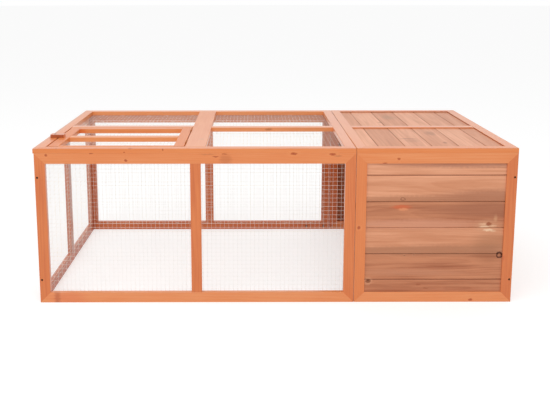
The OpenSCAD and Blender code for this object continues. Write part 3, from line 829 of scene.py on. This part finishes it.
def new_tree(name, inputs):
    """A geometry tree with named inputs, and its input node's outputs."""
    tree = bpy.data.node_groups.new(name, "GeometryNodeTree")
    tree.interface.new_socket("Geometry", in_out="OUTPUT",
                              socket_type="NodeSocketGeometry")
    for label, kind in inputs.items():
        tree.interface.new_socket(label, in_out="INPUT", socket_type="NodeSocket" + kind)
    return tree, add(tree, "NodeGroupInput").outputs


def close_tree(tree, parts, material):
    """Ends a tree: join, realize, set the material, output."""
    joined = add(tree, "GeometryNodeJoinGeometry", (parts,))
    real = add(tree, "GeometryNodeRealizeInstances", (joined,))
    painted = add(tree, "GeometryNodeSetMaterial", {"Geometry": real, "Material": material})
    add(tree, "NodeGroupOutput", (painted,))


def set_on_points(tree, source, thing, material):
    """Ends a tree that sets a thing on every point, turned as the point says."""
    turn = add(tree, "GeometryNodeInputNamedAttribute", {"Name": "turn"},
               data_type="FLOAT_VECTOR")
    turn = add(tree, "FunctionNodeEulerToRotation", (turn,))
    copies = add(tree, "GeometryNodeInstanceOnPoints",
                 {"Points": source["Geometry"], "Instance": thing, "Rotation": turn})
    close_tree(tree, [copies], material)


def point_cloud(points, turns):
    """A mesh of loose points, each with its own turn, for a tree to set things on."""
    mesh = bpy.data.meshes.new("points")
    mesh.from_pydata(points, [], [])
    layer = mesh.attributes.new("turn", "FLOAT_VECTOR", "POINT")
    for item, turn in zip(layer.data, turns):
        item.vector = turn
    return mesh


def grow(tree, values, base=None):
    """Runs a geometry tree on an object and returns the result as one plain mesh."""
    holder = linked("holder", base or bpy.data.meshes.new("holder"))
    modifier = holder.modifiers.new("grow", "NODES")
    modifier.node_group = tree
    for item in tree.interface.items_tree:
        if item.item_type == "SOCKET" and item.in_out == "INPUT" and item.name in values:
            modifier[item.identifier] = values[item.name]
    return plain_mesh(holder)


def net_tree():
    """Welded wire net: upright wires against the wood and cross wires welded over them."""
    tree, source = new_tree("Welded wire net", {
        "Width": "Float", "Height": "Float", "Pitch": "Float", "Wire Diameter": "Float",
        "Waver": "Float", "Seed": "Int", "Wire": "Material"})
    radius = add(tree, "ShaderNodeMath", (source["Wire Diameter"], 0.5),
                 operation="MULTIPLY")
    profile = add(tree, "GeometryNodeCurvePrimitiveCircle",
                  {"Resolution": 6, "Radius": radius})
    families = []
    # The sizes that a family's wires stand along and run along, the axes of both, and how
    # many radii its wires' middles lie off the wood.
    for stand, run, stand_axis, run_axis, layer in (
            (source["Width"], source["Height"], 0, 1, 1.0),
            (source["Height"], source["Width"], 1, 0, 2.6)):
        # A row of points a pitch apart, with the same margin at both ends.
        gaps = add(tree, "ShaderNodeMath", (stand, source["Pitch"]), operation="DIVIDE")
        gaps = add(tree, "ShaderNodeMath", (gaps,), operation="FLOOR")
        filled = add(tree, "ShaderNodeMath", (gaps, source["Pitch"]), operation="MULTIPLY")
        margin = add(tree, "ShaderNodeMath", (stand, filled), operation="SUBTRACT")
        margin = add(tree, "ShaderNodeMath", (margin, 0.5), operation="MULTIPLY")
        depth = add(tree, "ShaderNodeMath", (radius, layer), operation="MULTIPLY")
        start = add(tree, "ShaderNodeCombineXYZ", {stand_axis: margin, 2: depth})
        step = add(tree, "ShaderNodeCombineXYZ", {stand_axis: source["Pitch"]})
        count = add(tree, "ShaderNodeMath", (gaps, 1.0), operation="ADD")
        row = add(tree, "GeometryNodeMeshLine",
                  {"Count": count, "Start Location": start, "Offset": step}, mode="OFFSET")
        # A wire on each point, with a place to bend at about every fourth crossing.
        far = add(tree, "ShaderNodeCombineXYZ", {run_axis: run})
        line = add(tree, "GeometryNodeCurvePrimitiveLine", {"End": far})
        stretch = add(tree, "ShaderNodeMath", (source["Pitch"], 4.0), operation="MULTIPLY")
        bends = add(tree, "ShaderNodeMath", (run, stretch), operation="DIVIDE")
        bends = add(tree, "ShaderNodeMath", (bends, 2.0), operation="ADD")
        line = add(tree, "GeometryNodeResampleCurve", {"Curve": line, "Count": bends})
        wires = add(tree, "GeometryNodeInstanceOnPoints", {"Points": row, "Instance": line})
        wires = add(tree, "GeometryNodeRealizeInstances", (wires,))
        # Each bend strays a little in the net's plane, in waves some 90 mm long.
        place = add(tree, "GeometryNodeInputPosition")
        noise = add(tree, "ShaderNodeTexNoise",
                    {"Vector": place, "W": source["Seed"], "Scale": 11.0, "Detail": 1.0},
                    noise_dimensions="4D")
        stray = add(tree, "ShaderNodeVectorMath", (noise.outputs["Color"], (0.5, 0.5, 0.5)),
                    operation="SUBTRACT")
        stray = add(tree, "ShaderNodeVectorMath", (stray, (2.0, 2.0, 0.0)),
                    operation="MULTIPLY")
        stray = add(tree, "ShaderNodeVectorMath", {0: stray, "Scale": source["Waver"]},
                    operation="SCALE")
        wires = add(tree, "GeometryNodeSetPosition", {"Geometry": wires, "Offset": stray})
        families.append(add(tree, "GeometryNodeCurveToMesh",
                            {"Curve": wires, "Profile Curve": profile, "Fill Caps": True}))
    close_tree(tree, families, source["Wire"])
    return tree


# Each net: its CAD node, the directions of its width and height, how far in from its edges
# its staples stand in mm, and the lath across its middle that it is stapled to as well.
NETS = [
    ("front_mesh", (-1, 0, 0), (0, 0, 1), 5.0, "front_run_mid_post"),
    ("rear_mesh", (1, 0, 0), (0, 0, 1), 5.0, "rear_run_mid_post"),
    ("side_mesh", (0, 1, 0), (0, 0, 1), 5.0, "side_run_mid_post"),
    ("roof_rear_mesh", (0, 1, 0), (1, 0, 0), 5.0, None),
    ("roof_mid_mesh", (0, 1, 0), (1, 0, 0), 5.0, "run_roof_right_cross_rail"),
    ("lid_mesh", (0, 1, 0), (1, 0, 0), 4.0, "lid_mid_rail"),
]
# How high a staple's crown lies off the wood, in wire diameters.
STAPLE_LIFT = 1.9
# How far a staple strays from its even place, as a part of the spacing, and how far it is
# turned from the lath's own way, in radians.
STAPLE_STRAY = 0.12
STAPLE_TURN = 0.35


def net_frame(node, width_way, height_way):
    """The matrix from a net's own plane to its place on the run, where its third axis
    points away from the wood, and the net's width and height."""
    low, high = (Vector(corner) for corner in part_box(node))
    u = Vector(width_way)
    v = Vector(height_way)
    off = u.cross(v)
    forward = u + v + off
    corner = Vector([low[i] if forward[i] > 0 else high[i] for i in range(3)])
    turned = Matrix((u, v, off)).transposed().to_4x4()
    size = high - low
    return Matrix.Translation(corner) @ turned, abs(size.dot(u)), abs(size.dot(v))


def staple_lines(place, width, height, inset, middle):
    """The lines of staples on a net: round its edges, and along a middle lath."""
    right = width - inset
    top = height - inset
    lines = [(inset, inset, right, inset), (inset, top, right, top),
             (inset, inset, inset, top), (right, inset, right, top)]
    if middle:
        low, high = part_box(middle)
        across = (place.inverted() @ ((Vector(low) + Vector(high)) / 2)).x
        lines.append((across, 3 * inset, across, height - 3 * inset))
    return lines


class RUN_OT_wire_nets(Operator):
    """Weave the welded wire nets in place of the coarse CAD ones"""

    bl_idname = "run.wire_nets"
    bl_label = "Wire nets"

    def execute(self, context):
        sizes = context.scene.run_wire
        tree = net_tree()
        material = metal("Galvanised wire")
        for number, (node, u, v, _, _) in enumerate(NETS):
            place, width, height = net_frame(node, u, v)
            mesh = grow(tree, {"Width": width, "Height": height, "Pitch": sizes.pitch,
                               "Wire Diameter": sizes.diameter, "Waver": sizes.waver,
                               "Seed": sizes.seed + number, "Wire": material})
            mesh.transform(place)
            for face in mesh.polygons:
                face.use_smooth = len(face.vertices) == 4
            new_piece(node + "_net", mesh, material, BODY_OF[node], [node])
        return {"FINISHED"}


def staple_tree():
    """A U of flat-ended wire on every point, turned by the point's own angle."""
    tree, source = new_tree("Staples", {
        "Geometry": "Geometry", "Crown": "Float", "Leg": "Float",
        "Wire Thickness": "Float", "Wire": "Material"})
    # Points 0 and 1 are the left leg and 2 and 3 the right; 0 and 3 are the tips.
    line = add(tree, "GeometryNodeMeshLine", {"Count": 4}, mode="OFFSET")
    index = add(tree, "GeometryNodeInputIndex")
    side = add(tree, "ShaderNodeMath", (index, 2.0), operation="DIVIDE")
    side = add(tree, "ShaderNodeMath", (side,), operation="FLOOR")
    side = add(tree, "ShaderNodeMath", (side, 2.0, -1.0), operation="MULTIPLY_ADD")
    half = add(tree, "ShaderNodeMath", (source["Crown"], 0.5), operation="MULTIPLY")
    x = add(tree, "ShaderNodeMath", (side, half), operation="MULTIPLY")
    off = add(tree, "ShaderNodeMath", (index, 1.5), operation="SUBTRACT")
    drop = add(tree, "ShaderNodeMath", (off, off), operation="MULTIPLY")
    drop = add(tree, "ShaderNodeMath", (drop, 0.5, -0.125), operation="MULTIPLY_ADD")
    down = add(tree, "ShaderNodeMath", (source["Leg"], -1.0), operation="MULTIPLY")
    z = add(tree, "ShaderNodeMath", (drop, down), operation="MULTIPLY")
    spot = add(tree, "ShaderNodeCombineXYZ", {0: x, 2: z})
    line = add(tree, "GeometryNodeSetPosition", {"Geometry": line, "Position": spot})
    curve = add(tree, "GeometryNodeMeshToCurve", (line,))
    curve = add(tree, "GeometryNodeFilletCurve",
                {"Curve": curve, "Count": 2, "Radius": source["Wire Thickness"]},
                mode="POLY")
    radius = add(tree, "ShaderNodeMath", (source["Wire Thickness"], 0.5),
                 operation="MULTIPLY")
    profile = add(tree, "GeometryNodeCurvePrimitiveCircle",
                  {"Resolution": 6, "Radius": radius})
    staple = add(tree, "GeometryNodeCurveToMesh",
                 {"Curve": curve, "Profile Curve": profile, "Fill Caps": True})
    set_on_points(tree, source, staple, source["Wire"])
    return tree


class RUN_OT_staples(Operator):
    """Staple the nets to the laths"""

    bl_idname = "run.staples"
    bl_label = "Net staples"

    def execute(self, context):
        sizes = context.scene.run_wire
        tree = staple_tree()
        material = metal("Galvanised wire")
        draw = random.Random(sizes.seed)
        lift = sizes.diameter * STAPLE_LIFT
        for node, u, v, inset, middle in NETS:
            place, width, height = net_frame(node, u, v)
            points = []
            turns = []
            for x0, y0, x1, y1 in staple_lines(place, width, height, inset * MM, middle):
                count = max(2, round(math.hypot(x1 - x0, y1 - y0) / sizes.staple_spacing))
                lean = math.atan2(y1 - y0, x1 - x0)
                for k in range(count):
                    t = (k + 0.5 + draw.uniform(-STAPLE_STRAY, STAPLE_STRAY)) / count
                    points.append((x0 + (x1 - x0) * t, y0 + (y1 - y0) * t, lift))
                    turns.append((0, 0, lean + draw.uniform(-STAPLE_TURN, STAPLE_TURN)))
            mesh = grow(tree, {"Crown": sizes.staple_crown, "Leg": sizes.staple_leg,
                               "Wire Thickness": sizes.staple_wire, "Wire": material},
                        point_cloud(points, turns))
            mesh.transform(place)
            new_piece(node.replace("_mesh", "_staples"), mesh, material, BODY_OF[node])
        return {"FINISHED"}


def steel_piece(node, mesh, steel):
    """Hardware in place of its CAD node, its curved faces shaded soft and its edges sharp."""
    mesh.shade_smooth()
    mesh.set_sharp_from_angle(angle=SHARP_STEEL)
    return new_piece(node + "_steel", mesh, metal(steel), BODY_OF[node], [node])


class RUN_PG_hardware(PropertyGroup):
    """Sizes of the hinges, plates and screws that the looks add to the CAD."""

    hinge_easing: FloatProperty(
        name="Hinge edge easing", description="How far the hinges' edges are broken",
        default=0.15 * MM, unit="LENGTH")
    plate_easing: FloatProperty(
        name="Plate edge easing", description="How far the plates' edges are broken",
        default=0.3 * MM, unit="LENGTH")
    recess: FloatProperty(
        name="Recess width", description="How wide a cross recess is over its head radius",
        default=1.1, min=0.2, max=1.8)
    recess_wing: FloatProperty(
        name="Recess wing", description="How thick a wing of the cross is over the radius",
        default=0.26, min=0.05, max=0.6)


class RUN_OT_hinges(Operator):
    """Dress the lid's two butt hinges"""

    bl_idname = "run.hinges"
    bl_label = "Lid hinges"

    def execute(self, context):
        easing = context.scene.run_hardware.hinge_easing
        for node in ("hinge_fixed_leaves", "hinge_lid_leaves", "hinge_pins"):
            mesh = eased(merged_copy(node), easing, HARDWARE_EDGE, all_alike)
            steel_piece(node, mesh, "Brown-painted steel")
        return {"FINISHED"}


class RUN_OT_plates(Operator):
    """Dress the brackets and joining plates inside the corners"""

    bl_idname = "run.plates"
    bl_label = "Brackets and plates"

    def execute(self, context):
        easing = context.scene.run_hardware.plate_easing
        for node in ("roof_brackets", "joining_plates"):
            mesh = eased(merged_copy(node), easing, HARDWARE_EDGE, all_alike)
            steel_piece(node, mesh, "Zinc-plated steel")
        return {"FINISHED"}


def screw_tree():
    """A countersunk cross-recess screw on every point, its head facing the point's turn."""
    tree, source = new_tree("Countersunk screws", {
        "Geometry": "Geometry", "Head Radius": "Float", "Shank Radius": "Float",
        "Length": "Float", "Recess": "Float", "Recess Wing": "Float", "Steel": "Material"})
    head_radius = source["Head Radius"]
    shank_radius = source["Shank Radius"]
    depth = add(tree, "ShaderNodeMath", (head_radius, shank_radius), operation="SUBTRACT")
    rim = add(tree, "ShaderNodeMath", (head_radius, 0.12), operation="MULTIPLY")
    tip = add(tree, "ShaderNodeMath", (shank_radius, 0.3), operation="MULTIPLY")
    bare = add(tree, "ShaderNodeMath", (source["Length"], depth), operation="SUBTRACT")
    head = add(tree, "GeometryNodeMeshCone",
               {"Vertices": 24, "Radius Top": head_radius, "Radius Bottom": shank_radius,
                "Depth": depth}, fill_type="NGON")
    disc = add(tree, "GeometryNodeMeshCylinder",
               {"Vertices": 24, "Radius": head_radius, "Depth": rim}, fill_type="NGON")
    shank = add(tree, "GeometryNodeMeshCone",
                {"Vertices": 10, "Radius Top": shank_radius, "Radius Bottom": tip,
                 "Depth": bare}, fill_type="NGON")
    # A cone stands on its foot and a disc lies round its middle. Each goes down from the
    # face of the head by its own share.
    whole_head = add(tree, "ShaderNodeMath", (depth, rim), operation="ADD")
    lowered = []
    for part, height, share in ((head, whole_head, -1.0), (disc, rim, -0.5),
                                (shank, source["Length"], -1.0)):
        drop = add(tree, "ShaderNodeMath", (height, share), operation="MULTIPLY")
        drop = add(tree, "ShaderNodeCombineXYZ", {2: drop})
        lowered.append(add(tree, "GeometryNodeTransform",
                           {"Geometry": part, "Translation": drop}))
    head, disc, shank = lowered
    # The cross recess: two bars that reach half a head radius down.
    wide = add(tree, "ShaderNodeMath", (head_radius, source["Recess"]),
               operation="MULTIPLY")
    thin = add(tree, "ShaderNodeMath", (head_radius, source["Recess Wing"]),
               operation="MULTIPLY")
    deep = add(tree, "ShaderNodeMath", (head_radius, 0.5), operation="MULTIPLY")
    bars = []
    for first, second in ((wide, thin), (thin, wide)):
        size = add(tree, "ShaderNodeCombineXYZ", (first, second, deep))
        bars.append(add(tree, "GeometryNodeMeshCube", {"Size": size}))
    head = add(tree, "GeometryNodeMeshBoolean", {"Mesh 2": [head, disc]},
               operation="UNION", solver="EXACT")
    head = add(tree, "GeometryNodeMeshBoolean", {"Mesh 1": head, "Mesh 2": bars},
               operation="DIFFERENCE", solver="EXACT")
    screw = add(tree, "GeometryNodeJoinGeometry", ([head, shank],))
    set_on_points(tree, source, screw, source["Steel"])
    return tree


def screw_seats(node):
    """Where a CAD node's screws sit: the middle of each head, the way it faces, the
    head's and the shank's radius, and the length."""
    bm = merged_copy(node, joined=False)
    seats = []
    for solid in islands(bm):
        low, high = extent(solid)
        size = high - low
        middle = (low + high) / 2
        axis = max(range(3), key=lambda i: size[i])
        across = [i for i in range(3) if i != axis]
        spread = [max(math.hypot(*[v.co[i] - middle[i] for i in across])
                      for v in solid if abs(v.co[axis] - end) < SCREW_END)
                  for end in (low[axis], high[axis])]
        face = Vector([0, 0, 0])
        face[axis] = 1 if spread[1] > spread[0] else -1
        head = middle.copy()
        head[axis] = high[axis] if face[axis] > 0 else low[axis]
        seats.append((head, face, max(size[i] for i in across) / 2, min(spread),
                      size[axis]))
    bm.free()
    return seats


class RUN_OT_screws(Operator):
    """Put cross-recess screws where the CAD has plain ones"""

    bl_idname = "run.screws"
    bl_label = "Screws"

    def execute(self, context):
        sizes = context.scene.run_hardware
        tree = screw_tree()
        for node in ("corner_screws", "plate_screws", "hinge_fixed_screws",
                     "hinge_lid_screws", "turn_button_screw"):
            if node == "plate_screws":
                steel, slot = "Zinc-plated steel", "zinc_steel"
            else:
                steel, slot = "Dark brown phosphated steel", "dark_steel"
            seats = screw_seats(node)
            draw = random.Random(f"turns of {node}")
            points = []
            turns = []
            for head, face, _, _, _ in seats:
                spin = Matrix.Rotation(draw.uniform(0, math.pi), 3, "Z")
                turn = face.to_track_quat("Z", "Y").to_matrix() @ spin
                points.append(head)
                turns.append(turn.to_euler())
            _, _, head_radius, shank_radius, length = seats[0]
            mesh = grow(tree, {"Head Radius": head_radius, "Shank Radius": shank_radius,
                               "Length": length, "Recess": sizes.recess,
                               "Recess Wing": sizes.recess_wing, "Steel": metal(steel)},
                        point_cloud(points, turns))
            steel_piece(node, mesh, steel)
        return {"FINISHED"}


# ---------------------------------------------------------------- stage

WHITE = (1.0, 1.0, 1.0, 1.0)
# How far the floor lies under the feet, so that the two never share a plane.
FLOOR_DROP = 0.3 * MM
# The floor as the camera sees it: a light grey that takes the object's shadow, and the
# glow that lifts it to white.
SEEN_FLOOR_GREY = 0.57
SEEN_FLOOR_GLOW = 0.535
# The soft box: its size, where it hangs, and the point it faces, in metres.
LAMP_SIZE = (3.4, 2.4)
LAMP_PLACE = (-0.5, -2.0, 3.2)
LAMP_AIM = (0.0, 0.0, 0.3)
# The camera, matched to the photograph: where it stands in metres, its turns in degrees,
# and how far the picture is shifted, as parts of its width.
CAMERA_PLACE = (-0.0769, -2.5888, 0.9718)
CAMERA_TURNS = (90 - 9.222, 0.036, -0.129)
CAMERA_SHIFT = (0.041, -0.17)
CAMERA_REACH = 200.0


class RUN_PG_stage(PropertyGroup):
    """The floor, the light and the camera."""

    floor_radius: FloatProperty(
        name="Floor radius", description="How far the floor reaches",
        default=60.0, unit="LENGTH")
    floor_colour: FloatVectorProperty(
        name="Floor colour", description="Colour of the floor as it lights the object",
        default=linear("f2f1ef")[:3], size=3, subtype="COLOR")
    sky_strength: FloatProperty(
        name="Sky strength", description="Soft light from all round", default=0.74)
    lamp_power: FloatProperty(
        name="Lamp power", description="Soft box over the object", default=52.0,
        unit="POWER")
    lens: FloatProperty(
        name="Lens", description="Focal length on a 36 mm wide sensor", default=48.06,
        subtype="DISTANCE_CAMERA")


def seen_directly(tree):
    """1 for what the camera, a shiny surface or a pane sees, and 0 for what light meets."""
    path = add(tree, "ShaderNodeLightPath").outputs
    seen = add(tree, "ShaderNodeMath", (path["Is Camera Ray"], path["Is Glossy Ray"]),
               operation="MAXIMUM")
    return add(tree, "ShaderNodeMath", (seen, path["Is Transmission Ray"]),
               operation="MAXIMUM")


def floor_material(colour):
    """Matt white paper: lights the object from below, and to the camera it is lifted to
    white but keeps the object's shadow."""
    material = bpy.data.materials.new("White paper floor")
    tree = own_tree(material)
    plain = add(tree, "ShaderNodeBsdfDiffuse", (tuple(colour) + (1.0,),))
    grey = add(tree, "ShaderNodeBsdfDiffuse", ((SEEN_FLOOR_GREY,) * 3 + (1.0,),))
    glow = add(tree, "ShaderNodeEmission", (WHITE, SEEN_FLOOR_GLOW))
    lifted = add(tree, "ShaderNodeAddShader", (grey, glow))
    both = add(tree, "ShaderNodeMixShader", (seen_directly(tree), plain, lifted))
    add(tree, "ShaderNodeOutputMaterial", (both,))
    return material


def white_world(strength):
    """Soft white light from all round, plain white where it is seen."""
    world = bpy.data.worlds.new("white surroundings")
    tree = own_tree(world)
    soft = add(tree, "ShaderNodeBackground", (WHITE, strength))
    white = add(tree, "ShaderNodeBackground", (WHITE, 1.0))
    both = add(tree, "ShaderNodeMixShader", (seen_directly(tree), soft, white))
    add(tree, "ShaderNodeOutputWorld", (both,))
    return world


class RUN_OT_stage(Operator):
    """Lay the white floor, hang the soft light and place the camera"""

    bl_idname = "run.stage"
    bl_label = "Floor, light and camera"

    def execute(self, context):
        sizes = context.scene.run_stage
        scene = context.scene
        scene.world = white_world(sizes.sky_strength)
        scene.view_settings.view_transform = "Standard"

        bm = bmesh.new()
        bmesh.ops.create_circle(bm, cap_ends=True, segments=48, radius=sizes.floor_radius)
        mesh = bpy.data.meshes.new("floor")
        bm.to_mesh(mesh)
        bm.free()
        mesh.transform(Matrix.Translation((0, 0, -FLOOR_DROP)))
        mesh.materials.append(floor_material(sizes.floor_colour))
        floor = linked("floor", mesh)

        lamp = bpy.data.lights.new("soft box", "AREA")
        lamp.shape = "RECTANGLE"
        lamp.size, lamp.size_y = LAMP_SIZE
        lamp.energy = sizes.lamp_power
        box = linked("soft box", lamp)
        box.location = LAMP_PLACE
        aim = Vector(LAMP_AIM) - Vector(LAMP_PLACE)
        box.rotation_euler = aim.to_track_quat("-Z", "Y").to_euler()

        camera = bpy.data.cameras.new("camera")
        camera.sensor_fit = "HORIZONTAL"
        camera.sensor_width = 36.0
        camera.lens = sizes.lens
        camera.shift_x, camera.shift_y = CAMERA_SHIFT
        camera.clip_end = CAMERA_REACH
        scene.camera = linked("camera", camera)
        scene.camera.location = CAMERA_PLACE
        scene.camera.rotation_euler = [math.radians(turn) for turn in CAMERA_TURNS]
        return {"FINISHED"}


class RUN_PT_panel(Panel):
    """Lists the steps that dress the run, in order"""

    bl_idname = "RUN_PT_panel"
    bl_label = "Rabbit run"
    bl_space_type = "VIEW_3D"
    bl_region_type = "UI"
    bl_category = "Rabbit run"

    def draw(self, context):
        for step in STEPS:
            self.layout.operator(step.bl_idname)


GROUPS = {"run_wood": RUN_PG_wood, "run_wire": RUN_PG_wire, "run_hardware": RUN_PG_hardware,
          "run_stage": RUN_PG_stage}
STEPS = (RUN_OT_wall_laths, RUN_OT_roof_laths, RUN_OT_lid_laths, RUN_OT_boards,
         RUN_OT_turn_button, RUN_OT_wire_nets, RUN_OT_staples, RUN_OT_hinges,
         RUN_OT_plates, RUN_OT_screws, RUN_OT_stage)


def register():
    """Adds the settings, the steps and the panel to Blender."""
    for name, group in GROUPS.items():
        bpy.utils.register_class(group)
        setattr(bpy.types.Scene, name, PointerProperty(type=group))
    for step in STEPS:
        bpy.utils.register_class(step)
    bpy.utils.register_class(RUN_PT_panel)


def unregister():
    """Takes them away again."""
    bpy.utils.unregister_class(RUN_PT_panel)
    for step in reversed(STEPS):
        bpy.utils.unregister_class(step)
    for name, group in GROUPS.items():
        delattr(bpy.types.Scene, name)
        bpy.utils.unregister_class(group)


def main():
    """Dresses the whole run."""
    register()
    for step in STEPS:
        group, name = step.bl_idname.split(".")
        getattr(getattr(bpy.ops, group), name)()


if __name__ == "__main__":
    main()
